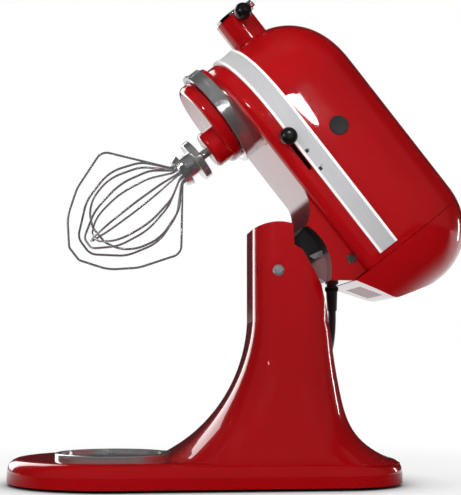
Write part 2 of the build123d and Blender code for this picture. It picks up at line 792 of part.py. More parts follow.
fan_u = 23.5
with BuildPart() as cooling_fan:
    disc(hub_face(fan_u), 12, 8, motor_shaft + seat_fit)
    disc(hub_face(fan_u), fan_radius, 1.6, motor_shaft + seat_fit)
    for blade in range(9):
        turn = Plane(hub_face(fan_u + 1.6).origin, x_dir=Vector(0, cos(blade * 2 * pi / 9), 0)
                     + head.z_dir * sin(blade * 2 * pi / 9), z_dir=head.x_dir)
        block(turn, (22, 0), (21, 1.6), 6.4)

with BuildPart() as stator_core:
    disc(hub_face(stator_from), stator_radius, stator_to - stator_from, stator_bore)

with BuildPart() as field_windings:
    disc(hub_face(stator_from - 8), stator_radius - 4, 8, stator_bore + 3)
    disc(hub_face(stator_to), stator_radius - 4, 7, stator_bore + 3)

with BuildPart() as motor_cradle:
    block(upright(stator_from + 9, 0, under_v + floor_thick), (0, 0), (15, 60), 22)
    disc(hub_face(stator_from - 5), stator_radius + seat_fit, 40, mode=Mode.SUBTRACT)

with BuildPart() as front_bracket:
    block(across(bracket_u), (0, hub_v - 8), (2 * (head_half - 30), 89), bracket_length)
    disc(hub_face(bracket_u), bearing_outer + seat_fit, bracket_length, mode=Mode.SUBTRACT)

with BuildPart() as rear_bracket:
    block(across(rear_u), (0, hub_v - 16), (2 * (head_half - shell - 1.3), 28), bearing_width)
    block(across(rear_u), (0, hub_v - 2), (2 * (head_half - 20), 56), bearing_width)
    disc(hub_face(rear_u), bearing_outer + seat_fit, bearing_width, mode=Mode.SUBTRACT)

with BuildPart() as motor_bearings:
    for start, width in ((bracket_u, bracket_length), (rear_u, bearing_width)):
        disc(hub_face(start), bearing_outer, width, motor_shaft + run_fit)

with BuildPart() as field_studs:
    with BuildSketch(hub_face(stator_to)):
        with Locations((40, 0), (-40, 0)):
            Circle(1.8)
    extrude(amount=rear_u - stator_to)

board_u = 56.0
with BuildPart() as control_board:
    with BuildSketch(across(rear_u + bearing_width)):
        with Locations((0, 115)):
            with GridLocations(66, 40, 2, 2):
                Circle(3)
    extrude(amount=board_u - rear_u - bearing_width)
    block(across(board_u), (0, 115), (76, 50), 1.6)
    block(across(board_u + 1.6), (-14, 118), (24, 18), 12)
    disc(Plane(head.from_local_coords((board_u + 1.6, 18, 112)), x_dir=(0, 1, 0), z_dir=head.x_dir), 9, 20)

holder_in = 15.5
holder_out = head_half - shell - slip
with BuildPart() as brush_holders:
    for side in (-1, 1):
        disc(cross(brush_u, hub_v, side * holder_in), 7.2, -side * (holder_out - holder_in))
        block(cross(brush_u, hub_v, side * (holder_in - 1)), (0, 0), (6.3, 8.3), -side * holder_out,
              mode=Mode.SUBTRACT)

with BuildPart() as carbon_brushes:
    for side in (-1, 1):
        block(cross(brush_u, hub_v, side * (commutator_radius + 0.1)), (0, 0), (6.0, 8.0), -side * 21)

with BuildPart() as brush_caps:
    for side in (-1, 1):
        disc(cross(brush_u, hub_v, side * (head_half - shell)), brush_cap_radius, -side * (shell + 1.2))
        block(cross(brush_u, hub_v, side * head_half), (0, 0), (1.9, 3 * brush_cap_radius), -side * 4,
              mode=Mode.SUBTRACT)

# Levers on the two sides of the head
lever_reach = 12.0


def lever_knob(side):
    """Round knob of a lever, outside the head."""
    with BuildPart(mode=Mode.PRIVATE) as knob:
        disc(cross(lever_u, lever_v, side * (head_half + 5)), 7.5, -side * lever_reach)
        fillet(knob.edges().filter_by(GeomType.CIRCLE), radius=5)
    return knob.part


def side_lever(side):
    """Adds a lever with a round knob outside and a slider behind the slot."""
    add(lever_knob(side))
    block(beside(side * (head_half - 10)), (lever_u, lever_v), (lever_width, lever_thick), -side * 16)
    block(beside(side * (head_half - 11)), (lever_u, lever_v), (16, 8), -side * 7.2)


with BuildPart() as lock_lever:
    side_lever(-1)

with BuildPart() as speed_lever:
    side_lever(1)

# Attachment hub: clamp knob and flip-up cap
with BuildPart() as hub_knob:
    disc(knob_plane.offset(hub_bore + 0.6), stem_radius, 10)
    disc(knob_plane.offset(hub_radius + 0.6), stem_radius + 1.8, 3)
    with Locations(knob_plane.offset(hub_radius + 10)):
        Sphere(hub_knob_radius)

cap_u = hub_end_u - joint_gap - hub_cap_thick
with BuildPart() as hub_cap:
    disc(hub_face(cap_u), hub_radius - 0.4, hub_cap_thick)
    block(across(cap_u), (0, cap_hinge_v - 4), (2 * cap_half, 8), hub_cap_thick)
    block(across(cap_u), (0, cap_hinge_v + 0.3), (2 * cap_half, 3.6), cap_hinge_u - cap_u)
    disc(cross(cap_hinge_u, cap_hinge_v, cap_half), 2.2, 2 * cap_half)
    disc(cross(cap_hinge_u, cap_hinge_v, 2 * cap_half), cap_pin_radius + run_fit, 4 * cap_half,
         mode=Mode.SUBTRACT)

with BuildPart() as hub_cap_pin:
    disc(cross(cap_hinge_u, cap_hinge_v, cap_half + slip + cap_ear), cap_pin_radius,
         2 * (cap_half + slip + cap_ear))

# Whisk
with BuildPart() as whisk_hub:
    disc(upright(beater_u, beater_y, flange_low), flange_radius, flange_top - flange_low)
    fillet(whisk_hub.edges().filter_by(GeomType.CIRCLE), radius=1.2)
    disc(upright(beater_u, beater_y, whisk_neck_low), whisk_neck_radius, flange_low - whisk_neck_low)
    with BuildSketch(upright(beater_u, beater_y, whisk_neck_low)):
        Circle(crown_radius)
    with BuildSketch(upright(beater_u, beater_y, crown_low)):
        Circle(crown_radius - 2.5)
    loft()
    disc(upright(beater_u, beater_y, flange_low - 7), beater_shaft_radius + run_fit, 30,
         mode=Mode.SUBTRACT)
    block(upright(beater_u, beater_y, pin_v - cross_pin_radius - 0.2), (0, 0), (4.2, 18), 20,
          mode=Mode.SUBTRACT)

whisk_axis = head.from_local_coords((beater_u, beater_y, crown_low))
outer_half = [(wire_ring, 0), (wire_ring, -3), (57, -42), (44, -79), (29, -101), (7, -116)]
outer_bends = [3.5, 10, 40, 40, 6]


def round_half(tip):
    """One side of a rounded loop that closes at a depth below the hub."""
    return [(wire_ring, 0), (wire_ring, -3), (31, -22), (42, -50), (33, -80), (10, 3 - tip)]


round_bends = [6, 30, 34, 34, 14]
loop_tips = [108, 104, 100, 96, 92]
loops = [(0, outer_half, outer_bends)]
loops += [(30 * (k + 1), round_half(tip), round_bends) for k, tip in enumerate(loop_tips)]

with BuildPart() as whisk_wires:
    for turn, half, bends in loops:
        radial = head.x_dir * cos(radians(turn)) + Vector(0, sin(radians(turn)), 0)
        loop_plane = Plane(whisk_axis, x_dir=radial, z_dir=radial.cross(head.z_dir))
        points = half + [(-x, y) for x, y in reversed(half)]
        with BuildLine(loop_plane) as path:
            FilletPolyline(*points, radius=bends + bends[::-1])
        with BuildSketch(Plane(path.line @ 0, z_dir=path.line % 0)):
            Circle(wire_radius)
        sweep(path=path.line)

# Mains lead: it drops behind the column to the floor and ends in a coil and a plug
cord_exit = gland_plane.offset(gland_length).origin
cord_lead = cord_exit + gland_plane.z_dir * 21
floor_z = cord_radius + 0.1
coil_x, coil_y = 42.0, 153.5
coil_radius = 42.0
coil_pitch = 2 * cord_radius + 0.6
coil_layer = 2 * cord_radius + 0.5
coil_end = 2 * cord_radius
turns_in = 8
turns_climb = 2
turns_out = 7
coil_turns = turns_in + turns_climb + turns_out
plug_width = 24.0
plug_swing = plug_width / 2 + 4
cord_points = [
    cord_exit,
    cord_lead,
    Vector(88.5, 52, 108),
    Vector(87, 66, 84),
    Vector(88, 78, 60),
    Vector(90, 88, 36),
    Vector(91, 99.5, 18.5),
    Vector(88.3, 114, 8),
    Vector(84, 130, floor_z),
    Vector(coil_x + coil_radius, coil_y - coil_end, floor_z),
]
cord_radii = []
for before, corner, after in zip(cord_points, cord_points[1:], cord_points[2:]):
    turn = radians((corner - before).get_angle(after - corner))
    shorter = min((corner - before).length, (after - corner).length)
    cord_radii.append(0.45 * shorter / tan(turn / 2))
print("cord bend radii", [round(radius, 1) for radius in cord_radii])

with BuildPart() as cord_drop:
    with BuildLine() as drop_line:
        FilletPolyline(*cord_points, radius=cord_radii)
    drop_path = Wire(drop_line.edges())
    with BuildSketch(Plane(drop_path @ 0, z_dir=drop_path % 0)):
        Circle(cord_radius)
    sweep(path=drop_path)
drop_length = drop_path.length
drop_share = cord_drop.part.volume / (pi * cord_radius**2 * drop_length)
print("cord drop", round(drop_length, 1), "volume share", drop_share)


def coil_place(quarter):
    """Middle of the lead and its heading after so many quarter turns of the coil."""
    inward = min(quarter, turns_in + 1)
    outward = max(0, quarter - turns_in - 1)
    climb = min(max(0, quarter - turns_in), turns_climb) / turns_climb
    radius = coil_radius - coil_pitch / 4 * (inward - outward) + (plug_swing if quarter == coil_turns else 0)
    angle = quarter * pi / 2
    slope = 1.5 * coil_layer / (pi * radius) if 0 < climb < 1 else 0
    place = Vector(coil_x + radius * cos(angle), coil_y + radius * sin(angle), floor_z + coil_layer * climb)
    return place, Vector(-sin(angle), cos(angle), slope).normalized()


def biarc_joint(start, heading, end, last_heading):
    """Point where two arcs meet that join two places with their headings."""
    chord = end - start
    both = heading + last_heading
    spread = 2 * (1 - heading.dot(last_heading))
    reach = chord.dot(both)
    length = (-reach + sqrt(reach**2 + spread * chord.dot(chord))) / spread
    return (start + end + (heading - last_heading) * length) * 0.5


with BuildPart() as cord_coil:
    with BuildLine() as coil_line:
        first, first_heading = coil_place(0)
        Line(first - first_heading * coil_end, first)
        for quarter in range(coil_turns):
            start, heading = coil_place(quarter)
            end, last_heading = coil_place(quarter + 1)
            joint = biarc_joint(start, heading, end, last_heading)
            TangentArc(start, joint, tangent=heading)
            TangentArc(end, joint, tangent=-last_heading)
        last, last_heading = coil_place(coil_turns)
        Line(last, last + last_heading * coil_end)
    coil_path = Wire(coil_line.edges())
    with BuildSketch(Plane(coil_path @ 0, z_dir=coil_path % 0)):
        Circle(cord_radius)
    sweep(path=coil_path)
coil_length = coil_path.length
samples = [coil_path @ (k / 900) for k in range(901)]
apart = int(5 * cord_radius / (coil_length / 900))
least = min((p - q).length for k, p in enumerate(samples) for q in samples[k + apart:])
print("coil", round(coil_length, 1), "least gap", round(least - 2 * cord_radius, 2),
      "volume share", cord_coil.part.volume / (pi * cord_radius**2 * coil_length))

plug_start = last + last_heading * coil_end
plug_plane = Plane(plug_start, x_dir=(0, 0, 1), z_dir=last_heading)
plug_half = floor_z + coil_layer
with BuildPart() as plug:
    with BuildSketch(plug_plane):
        Circle(cord_radius + 2)
    with BuildSketch(plug_plane.offset(14)):
        RectangleRounded(2 * plug_half - 0.4, plug_width, 6)
    loft()
    with BuildSketch(plug_plane.offset(14)):
        RectangleRounded(2 * plug_half - 0.4, plug_width, 6)
    extrude(amount=20)
    with BuildSketch(plug_plane.offset(34)):
        with Locations((0, 6.35), (0, -6.35)):
            Rectangle(6.3, 1.5)
    extrude(amount=17)

pieces = {
    "pedestal": pedestal,
    "tilt_stop": tilt_stop,
    "hinge_pin": hinge_pin,
    "base_plate": base_plate,
    "rubber_feet": rubber_feet,
    "bowl_seat": bowl_seat,
    "seat_screws": seat_screws,
    "gearcase": gearcase,
    "upper_housing": upper_housing,
    "end_cover": end_cover,
    "end_cover_screw": end_cover_screw,
    "trim_band": trim_band,
    "case_screws": case_screws,
    "hinge_washers": hinge_washers,
    "hinge_bushes": hinge_bushes,
    "cord_gland": cord_gland,
    "drip_ring": drip_ring,
    "ring_gear": ring_gear,
    "centre_bush": centre_bush,
    "planetary": planetary,
    "planetary_shaft": planetary_shaft,
    "beater_bush": beater_bush,
    "beater_shaft": beater_shaft,
    "beater_pin": beater_pin,
    "beater_pinion": beater_pinion,
    "centre_gear": centre_gear,
    "spur_pinion": spur_pinion,
    "worm_wheel": worm_wheel,
    "wheel_shaft": wheel_shaft,
    "wheel_bushes": wheel_bushes,
    "wheel_bracket": wheel_bracket,
    "drive_bevel": drive_bevel,
    "hub_bevel": hub_bevel,
    "hub_spindle": hub_spindle,
    "hub_bush": hub_bush,
    "motor_shaft": motor_shaft_worm,
    "armature_core": armature_core,
    "commutator": commutator,
    "cooling_fan": cooling_fan,
    "stator_core": stator_core,
    "field_windings": field_windings,
    "motor_cradle": motor_cradle,
    "front_bracket": front_bracket,
    "rear_bracket": rear_bracket,
    "motor_bearings": motor_bearings,
    "field_studs": field_studs,
    "control_board": control_board,
    "brush_holders": brush_holders,
    "carbon_brushes": carbon_brushes,
    "brush_caps": brush_caps,
    "lock_lever": lock_lever,
    "speed_lever": speed_lever,
    "hub_knob": hub_knob,
    "hub_cap": hub_cap,
    "hub_cap_pin": hub_cap_pin,
    "whisk_hub": whisk_hub,
    "whisk_wires": whisk_wires,
    "cord_drop": cord_drop,
    "cord_coil": cord_coil,
    "plug": plug,
}
for piece_name, piece in pieces.items():
    piece.part.label = piece_name
    export_step(piece.part, f"parts/{piece_name}.step")
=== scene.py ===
import json
import math

import bmesh
import bpy
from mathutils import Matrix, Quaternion, Vector


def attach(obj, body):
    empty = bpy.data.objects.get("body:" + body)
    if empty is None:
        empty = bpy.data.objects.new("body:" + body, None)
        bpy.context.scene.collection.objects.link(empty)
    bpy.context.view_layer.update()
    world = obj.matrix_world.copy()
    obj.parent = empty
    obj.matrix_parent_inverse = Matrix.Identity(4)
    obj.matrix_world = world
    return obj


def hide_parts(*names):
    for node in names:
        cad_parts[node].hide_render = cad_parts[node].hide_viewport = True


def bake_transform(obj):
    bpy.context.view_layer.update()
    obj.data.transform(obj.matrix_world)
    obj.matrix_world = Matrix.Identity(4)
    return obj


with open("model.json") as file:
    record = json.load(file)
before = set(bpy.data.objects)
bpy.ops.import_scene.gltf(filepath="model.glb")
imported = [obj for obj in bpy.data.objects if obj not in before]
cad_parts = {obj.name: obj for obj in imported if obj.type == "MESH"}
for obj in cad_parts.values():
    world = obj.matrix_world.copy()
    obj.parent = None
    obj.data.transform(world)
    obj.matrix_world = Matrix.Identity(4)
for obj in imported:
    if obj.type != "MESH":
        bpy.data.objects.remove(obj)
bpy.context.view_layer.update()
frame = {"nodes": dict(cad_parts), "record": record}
nodes = frame["nodes"]

mm = 0.001
hinge = Vector((31, 0, 183.5)) * mm
headTilt = math.radians(52)
headAlong = Vector((math.cos(headTilt), 0, -math.sin(headTilt)))  # to the rear of the head
headUp = Vector((math.sin(headTilt), 0, math.cos(headTilt)))  # out of the top of the head
across = Vector((0, 1, 0))
squareCorners = ((-1, -1), (1, -1), (1, 1), (-1, 1))
pureWhite = (1, 1, 1, 1)


def headPoint(u, y, v):
    return hinge + (headAlong * u + across * y + headUp * v) * mm


class Wire:
    def __init__(self, tree, socket=None):
        self.tree = tree
        self.socket = socket

    def make(self, kind, settings=None, inputs=None, output=0):
        node = self.tree.nodes.new(kind)
        for name, value in (settings or {}).items():
            setattr(node, name, value)
        for name, value in (inputs or {}).items():
            if isinstance(value, Wire):
                self.tree.links.new(value.socket, node.inputs[name])
            else:
                node.inputs[name].default_value = value
        return Wire(self.tree, node.outputs[output] if len(node.outputs) else None)

    def maths(self, operation, first, second=0.0):
        return self.make("ShaderNodeMath", {"operation": operation}, {0: first, 1: second})

    def __add__(self, other):
        return self.maths("ADD", self, other)

    __radd__ = __add__

    def __sub__(self, other):
        return self.maths("SUBTRACT", self, other)

    def __rsub__(self, other):
        return self.maths("SUBTRACT", other, self)

    def __mul__(self, other):
        return self.maths("MULTIPLY", self, other)

    __rmul__ = __mul__


def noise(base, place, scale, detail=2.0, rough=0.5):
    return base.make("ShaderNodeTexNoise", {},
                     {"Vector": place, "Scale": scale, "Detail": detail, "Roughness": rough})


def objectPlace(base, stretch=(1, 1, 1)):
    place = base.make("ShaderNodeTexCoord", output="Object")
    return base.make("ShaderNodeMapping", {}, {"Vector": place, "Scale": stretch})


def headPlace(base, stretch=(1, 1, 1)):
    place = base.make("ShaderNodeTexCoord", output="Object")
    middle = (-hinge.dot(headAlong), 0, -hinge.dot(headUp))
    turned = base.make("ShaderNodeMapping", {},
                       {"Vector": place, "Rotation": (0, -headTilt, 0), "Location": middle})
    return base.make("ShaderNodeMapping", {}, {"Vector": turned, "Scale": stretch})


def ramp(base, value, low, high):
    return base.make("ShaderNodeMapRange", {"interpolation_type": "SMOOTHSTEP"},
                     {"Value": value, "From Min": low, "From Max": high})


# The colour sockets of a mix are told apart only by their number.
def mixed(base, share, first, second):
    return base.make("ShaderNodeMix", {"data_type": "RGBA"}, {0: share, 6: first, 7: second}, output=2)


def twoTone(base, share, dark, light):
    return mixed(base, share, (*dark, 1), (*light, 1))


def axis(base, place, which):
    return base.make("ShaderNodeSeparateXYZ", {}, {0: place}, output=which)


def bump(base, height, strength, depth):
    return base.make("ShaderNodeBump", {}, {"Height": height, "Strength": strength, "Distance": depth})


def finish(name, build, **fixed):
    material = bpy.data.materials.new(name)
    material.use_nodes = True
    tree = material.node_tree
    tree.nodes.clear()
    base = Wire(tree)
    inputs = {"IOR": 1.5, **{key.replace("_", " "): value for key, value in fixed.items()}, **build(base)}
    surface = base.make("ShaderNodeBsdfPrincipled", {}, inputs)
    base.make("ShaderNodeOutputMaterial", {}, {"Surface": surface})
    return material


enamel = {"dark": (0.33, 0.0015, 0.003), "light": (0.4, 0.0025, 0.0045), "roughness": 0.24,
          "roughnessRange": 0.08, "cloud": 14.0, "peel": 420.0, "peelStrength": 0.035, "peelDepth": 0.0004}


def enamelNodes(base):
    place = objectPlace(base)
    cloud = noise(base, place, enamel["cloud"], 3.0)
    peel = noise(base, place, enamel["peel"], 1.0)
    return {"Base Color": twoTone(base, cloud, enamel["dark"], enamel["light"]),
            "Roughness": enamel["roughness"] + (cloud - 0.5) * enamel["roughnessRange"],
            "Normal": bump(base, peel, enamel["peelStrength"], enamel["peelDepth"])}


# The recess mask, its painted shade colours (near black, then a pinkish grey that is partly a painted
# reflection), and how much coat the bare cheeks lose
bareRecessAndShade = {"dark": (0.03, 0.022, 0.022), "castingAndReflection": (0.3, 0.16, 0.16), "shadeToCasting": (0.012, 0.016),
          "radius": 0.0446, "half": 0.0574, "edge": 0.0002, "coatLoss": 0.7, "dulling": 0.25}


# The cheeks beside the hinge, inside the sweep of the column's ears, are bare casting with less coat and more
# roughness. Their colour is painted shade: near black by the hinge, turning further back to a greyish pink that
# is both bare-casting tone and a painted reflection.
def gearcaseNodes(base):
    inputs = enamelNodes(base)
    place = headPlace(base)
    along, side, up = (axis(base, place, which) for which in "XYZ")
    edge = bareRecessAndShade["edge"]
    reach = base.maths("SQRT", along * along + up * up)
    near = 1.0 - ramp(base, reach, bareRecessAndShade["radius"] - 2 * edge, bareRecessAndShade["radius"])
    aside = base.maths("ABSOLUTE", side)
    between = 1.0 - ramp(base, aside, bareRecessAndShade["half"] - edge, bareRecessAndShade["half"] + edge)
    bareAndShaded = near * between
    # Painted shade in the hinge recess: near black by the hinge, lighter pinkish grey further back as a painted
    # reflection
    cheekShade = twoTone(base, ramp(base, along, *bareRecessAndShade["shadeToCasting"]), bareRecessAndShade["dark"], bareRecessAndShade["castingAndReflection"])
    inputs["Base Color"] = mixed(base, bareAndShaded, inputs["Base Color"], cheekShade)
    inputs["Coat Weight"] = 1.0 - bareAndShaded * bareRecessAndShade["coatLoss"]
    inputs["Roughness"] = inputs["Roughness"] + bareAndShaded * bareRecessAndShade["dulling"]
    return inputs


brushed = {"dark": (0.48, 0.48, 0.49), "light": (0.62, 0.62, 0.63), "metallic": 0.2, "roughness": 0.45,
           "roughnessRange": 0.2, "streak": (12, 900, 900), "streakStrength": 0.06, "streakDepth": 0.0001}
# The band's rib edges get a near-white painted highlight, with less metal and more polish
ribHighlights = {"colour": (0.95, 0.95, 0.95), "middle": 0.08325, "face": 0.00705, "edge": 0.0001, "polish": 0.2}


def bandNodes(base):
    streaks = noise(base, headPlace(base, brushed["streak"]), 1.0, 4.0, 0.65)
    offMiddle = base.maths("ABSOLUTE", axis(base, headPlace(base), "Z") - ribHighlights["middle"])
    ribHighlight = ramp(base, offMiddle, ribHighlights["face"] - ribHighlights["edge"], ribHighlights["face"] + ribHighlights["edge"])
    plain = twoTone(base, streaks, brushed["dark"], brushed["light"])
    sheen = brushed["roughness"] + (streaks - 0.5) * brushed["roughnessRange"]
    # Painted highlight: the ribs are coloured near white instead of brushed metal
    return {"Base Color": mixed(base, ribHighlight, plain, (*ribHighlights["colour"], 1)),
            "Metallic": brushed["metallic"] - ribHighlight * brushed["metallic"],
            "Roughness": sheen - ribHighlight * ribHighlights["polish"],
            "Normal": bump(base, streaks, brushed["streakStrength"], brushed["streakDepth"])}


polish = {"least": 0.6, "range": 0.8, "finer": 30, "strength": 0.02, "depth": 0.0001}


def polishedNodes(dark, light, roughness, scale):
    def build(base):
        place = objectPlace(base)
        smudge = noise(base, place, scale, 4.0, 0.6)
        return {"Base Color": twoTone(base, smudge, dark, light),
                "Roughness": roughness * polish["least"] + smudge * roughness * polish["range"],
                "Normal": bump(base, noise(base, place, scale * polish["finer"], 1.0),
                               polish["strength"], polish["depth"])}
    return build


grainy = {"coarser": 30, "roughnessRange": 0.16, "strength": 0.25, "depth": 0.0002}


def grainNodes(dark, light, roughness, scale):
    def build(base):
        place = objectPlace(base)
        grain = noise(base, place, scale, 3.0, 0.6)
        cloud = noise(base, place, scale / grainy["coarser"], 2.0)
        return {"Base Color": twoTone(base, cloud, dark, light),
                "Roughness": roughness + (grain - 0.5) * grainy["roughnessRange"],
                "Normal": bump(base, grain, grainy["strength"], grainy["depth"])}
    return build


toolMarks = {"wander": 1.2, "detail": 2.0, "roughnessRange": 0.12, "strength": 0.06, "depth": 0.0001}


def turnedNodes(dark, light, roughness, rings):
    def build(base):
        place = headPlace(base)
        marks = base.make("ShaderNodeTexWave", {"wave_type": "RINGS", "rings_direction": "SPHERICAL"},
                          {"Vector": place, "Scale": rings, "Distortion": toolMarks["wander"],
                           "Detail": toolMarks["detail"]})
        return {"Base Color": twoTone(base, marks, dark, light),
                "Roughness": roughness + (marks - 0.5) * toolMarks["roughnessRange"],
                "Normal": bump(base, marks, toolMarks["strength"], toolMarks["depth"])}
    return build


winding = {"dark": (0.3, 0.09, 0.03), "light": (0.62, 0.27, 0.12), "turns": 190.0, "wander": 0.6,
           "roughness": 0.42, "polish": 0.14, "strength": 0.6, "depth": 0.0004}


def windingNodes(base):
    place = headPlace(base)
    turns = base.make("ShaderNodeTexWave", {"wave_type": "BANDS", "bands_direction": "Y"},
                      {"Vector": place, "Scale": winding["turns"], "Distortion": winding["wander"]})
    return {"Base Color": twoTone(base, turns, winding["dark"], winding["light"]),
            "Roughness": winding["roughness"] - turns * winding["polish"],
            "Normal": bump(base, turns, winding["strength"], winding["depth"])}


knob = {"dark": (0.003, 0.003, 0.0033), "light": (0.006, 0.006, 0.0064), "scuffs": 60.0, "grain": 900.0,
        "roughness": 0.34, "roughnessRange": 0.2, "strength": 0.08, "depth": 0.0001}


def knobNodes(base):
    place = objectPlace(base)
    scuffs = noise(base, place, knob["scuffs"], 4.0, 0.6)
    return {"Base Color": twoTone(base, scuffs, knob["dark"], knob["light"]),
            "Roughness": knob["roughness"] + (scuffs - 0.5) * knob["roughnessRange"],
            "Normal": bump(base, noise(base, place, knob["grain"]), knob["strength"], knob["depth"])}


gloss = {"Specular_IOR_Level": 0.05, "Coat_Roughness": 0.02, "Coat_IOR": 1.5}
finishes = {
    "red_enamel": finish("deepRedEnamel", enamelNodes, Coat_Weight=1.0, **gloss),
    "silver_band": finish("brushedBand", bandNodes),
    "chrome": finish("polishedChrome", polishedNodes((0.6, 0.6, 0.61), (0.72, 0.72, 0.73), 0.09, 40),
                     Metallic=1.0),
    "wire_steel": finish("whiskSteel", polishedNodes((0.36, 0.36, 0.365), (0.5, 0.5, 0.505), 0.3, 120),
                         Metallic=0.8),
    "steel": finish("groundSteel", turnedNodes((0.36, 0.36, 0.37), (0.56, 0.56, 0.57), 0.32, 90),
                    Metallic=1.0),
    "alloy": finish("castAlloy", grainNodes((0.5, 0.5, 0.51), (0.66, 0.66, 0.67), 0.45, 700),
                    Metallic=1.0),
    "bronze": finish("sinteredBronze", grainNodes((0.42, 0.25, 0.1), (0.6, 0.4, 0.18), 0.42, 900),
                     Metallic=1.0),
    "copper": finish("woundCopper", windingNodes, Metallic=0.9),
    "black_gloss": finish("glossBlackKnob", knobNodes, Specular_IOR_Level=0.1, Coat_Weight=0.8,
                          Coat_Roughness=0.04),
    "dark_plastic": finish("mattGreyPlastic",
                           grainNodes((0.014, 0.0145, 0.015), (0.026, 0.0265, 0.027), 0.44, 1400),
                           Specular_IOR_Level=0.25),
    "black_rubber": finish("blackRubber", grainNodes((0.012, 0.012, 0.013), (0.026, 0.026, 0.027), 0.56, 1100)),
    "plate_black": finish("satinBlackPlate", grainNodes((0.02, 0.02, 0.021), (0.035, 0.035, 0.036), 0.4, 500)),
    "board_green": finish("circuitBoard", grainNodes((0.008, 0.06, 0.02), (0.02, 0.13, 0.05), 0.4, 260)),
    "carbon": finish("pressedCarbon", grainNodes((0.012, 0.012, 0.012), (0.03, 0.03, 0.03), 0.7, 2000)),
}

for row in frame["record"]["subparts"]:
    mesh = nodes[row["node"]].data
    mesh.materials.clear()
    mesh.materials.append(finishes[row["material_slot"]])
nodes["gearcase"].data.materials[0] = finish("gearcaseEnamel", gearcaseNodes, **gloss)
bowlChrome = finish("bowlPlateChrome", polishedNodes((0.68, 0.68, 0.69), (0.82, 0.82, 0.83), 0.16, 60),
                    Metallic=0.88)
for name in ("drip_ring", "bowl_seat", "whisk_hub", "beater_shaft"):
    nodes[name].data.materials[0] = bowlChrome
pinSteel = finish("brightPin", polishedNodes((0.72, 0.74, 0.76), (0.82, 0.84, 0.86), 0.3, 200),
                  Metallic=0.85)
nodes["hinge_pin"].data.materials[0] = pinSteel
print("finishes:", len(finishes))

# Printed padlocks on the band, and the lock's steel tongue beside the hinge
padlock = {"u": (-65.3, -46.5), "v": 78.3, "side": -71.42, "thick": 0.12, "body": (3.3, 2.9),
           "shackle": 1.05, "wire": 0.42, "shutRise": 0.1, "openRise": 0.6}
tongue = {"outline": [(6.9, 30.6), (9.6, 42.6), (14.8, 40.6), (11.6, 32.2)], "from": 34.55, "thick": 0.8}


def flatMesh(name, outlines, side, thick):
    shape = bmesh.new()
    for outline in outlines:
        near = [shape.verts.new(headPoint(u, side, v)) for u, v in outline]
        far = [shape.verts.new(headPoint(u, side + thick, v)) for u, v in outline]
        shape.faces.new(near)
        shape.faces.new(list(reversed(far)))
        for k in range(len(outline)):
            after = (k + 1) % len(outline)
            shape.faces.new([near[k], far[k], far[after], near[after]])
    bmesh.ops.recalc_face_normals(shape, faces=shape.faces)
    mesh = bpy.data.meshes.new(name)
    shape.to_mesh(mesh)
    shape.free()
    return mesh


def place(name, mesh, material, slot, body):
    piece = bpy.data.objects.new(name, mesh)
    bpy.context.scene.collection.objects.link(piece)
    mesh.materials.append(material)
    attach(piece, body)
    return piece


def arch(u, v, radius, wire, first, last, steps=14):
    angles = [math.radians(first + (last - first) * k / steps) for k in range(steps + 1)]
    outer = [(u + radius * math.cos(a), v + radius * math.sin(a)) for a in angles]
    inner = [(u + (radius - wire) * math.cos(a), v + (radius - wire) * math.sin(a)) for a in reversed(angles)]
    return outer + inner


def padlockOutlines(u, v, opened):
    wide, high = padlock["body"]
    body = [(u + side * wide / 2, v + end * high / 2) for side, end in squareCorners]
    middle = u - 2 * padlock["shackle"] + padlock["wire"] if opened else u
    foot = v + high / 2 + padlock["openRise" if opened else "shutRise"]
    return [body, arch(middle, foot, padlock["shackle"], padlock["wire"], 0, 180)]


inkBlack = finish("printedInk", grainNodes((0.008, 0.008, 0.009), (0.016, 0.016, 0.017), 0.5, 2000))
for opened, u in zip((False, True), padlock["u"]):
    outlines = padlockOutlines(u, padlock["v"], opened)
    sign = flatMesh("padlock", outlines, padlock["side"], padlock["thick"])
    place("openPadlock" if opened else "closedPadlock", sign, inkBlack, "black_gloss", "head")
for side in (-1, 1):
    start = tongue["from"] if side > 0 else -tongue["from"] - tongue["thick"]
    blade = flatMesh("lockTongue", [tongue["outline"]], start, tongue["thick"])
    place("lockTongueNear" if side < 0 else "lockTongueFar", blade, pinSteel, "steel", "head")
print("trim: padlock signs and lock tongues")

# The mains lead leaves the gland, hangs behind the column and lies coiled on the floor.
lead = {"radius": 3.5, "coilX": 42.0, "coilY": 153.5, "coilRadius": 42.0, "pitch": 7.6, "layer": 7.5,
        "floor": 3.6, "inward": 9, "climbFrom": 8, "climbTo": 10, "last": 17, "swing": 16.0, "straight": 7.0,
        "stepsPerQuarter": 6, "resolution": 4, "bevelResolution": 5}
leadRoute = [(89.400, 28.889, 152.217), (90.955, 36.667, 132.772), (88.5, 52, 108), (87, 66, 84),
             (88, 78, 60), (90, 88, 36), (91, 99.5, 18.5), (88.3, 114, 8), (84, 130, 3.6), (84, 146.5, 3.6)]


def coilPoint(quarter):
    turned = min(quarter, lead["last"] - 1)
    inward = min(turned, lead["inward"])
    radius = lead["coilRadius"] - lead["pitch"] / 4 * (2 * inward - turned)
    climb = min(max((quarter - lead["climbFrom"]) / (lead["climbTo"] - lead["climbFrom"]), 0), 1)
    height = lead["floor"] + lead["layer"] * climb * climb * (3 - 2 * climb)
    angle = quarter * math.pi / 2
    reach = radius + (lead["swing"] + lead["pitch"] / 4 if quarter > lead["last"] - 1 else 0)
    return (lead["coilX"] + radius * math.cos(angle), lead["coilY"] + reach * math.sin(angle), height)


